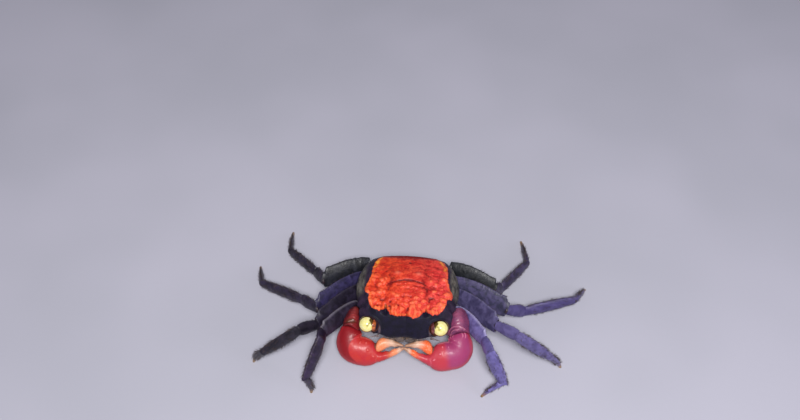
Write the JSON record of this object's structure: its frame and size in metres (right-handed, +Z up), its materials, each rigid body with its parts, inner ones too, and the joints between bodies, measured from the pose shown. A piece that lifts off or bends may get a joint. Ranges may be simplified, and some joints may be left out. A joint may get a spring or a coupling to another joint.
{
  "type": "vampire crab",
  "caption": "Small land crab standing with splayed walking legs, a squarish lumpy red back, pale eyes at the front corners and short claws folded before the face.",
  "frame": {"origin": "middle of the footprint's bounding box, on the floor that the toes stand on", "axes": "+X toward the crab's left across the leg span, -Y toward the way it faces, +Z up"},
  "size_m": [0.0588, 0.034, 0.0113],
  "materials": {
    "carapace": "moist, lumpy, red-orange with a navy front",
    "thorax": "satin grey-brown",
    "pleon": "satin grey-brown",
    "maxillipeds": "satin grey-brown",
    "eyes": "glossy pale yellow",
    "eyestalks": "glossy brown-orange",
    "feelers": "satin brown-grey",
    "claw_arms": "moist dark red",
    "claw_palms": "moist red to purple-red",
    "claw_fingers": "satin pale orange with cream tips",
    "legs": "satin purple-black, lighter on the upper edges",
    "toes": "satin, dark with yellow-brown tips"
  },
  "bodies": {
    "root": {"carapace": "carapace", "thorax": "thorax", "pleon": "pleon", "maxilliped_l": "maxillipeds", "maxilliped_r": "maxillipeds", "eye_l": "eyes", "eye_r": "eyes", "eyestalk_l": "eyestalks", "eyestalk_r": "eyestalks", "antennule_l": "feelers", "antennule_r": "feelers", "antenna_l": "feelers", "antenna_r": "feelers", "claw_l_merus": "claw_arms", "claw_l_carpus": "claw_arms", "claw_l_palm": "claw_palms", "claw_l_finger": "claw_fingers", "claw_r_merus": "claw_arms", "claw_r_carpus": "claw_arms", "claw_r_palm": "claw_palms", "claw_r_finger": "claw_fingers", "leg_l1_merus": "legs", "leg_l1_carpus": "legs", "leg_l1_propodus": "legs", "leg_l1_dactylus": "toes", "leg_l2_merus": "legs", "leg_l2_carpus": "legs", "leg_l2_propodus": "legs", "leg_l2_dactylus": "toes", "leg_l3_merus": "legs", "leg_l3_carpus": "legs", "leg_l3_propodus": "legs", "leg_l3_dactylus": "toes", "leg_l4_merus": "legs", "leg_l4_carpus": "legs", "leg_l4_propodus": "legs", "leg_l4_dactylus": "toes", "leg_r1_merus": "legs", "leg_r1_carpus": "legs", "leg_r1_propodus": "legs", "leg_r1_dactylus": "toes", "leg_r2_merus": "legs", "leg_r2_carpus": "legs", "leg_r2_propodus": "legs", "leg_r2_dactylus": "toes", "leg_r3_merus": "legs", "leg_r3_carpus": "legs", "leg_r3_propodus": "legs", "leg_r3_dactylus": "toes", "leg_r4_merus": "legs", "leg_r4_carpus": "legs", "leg_r4_propodus": "legs", "leg_r4_dactylus": "toes"}
  },
  "joints": []
}
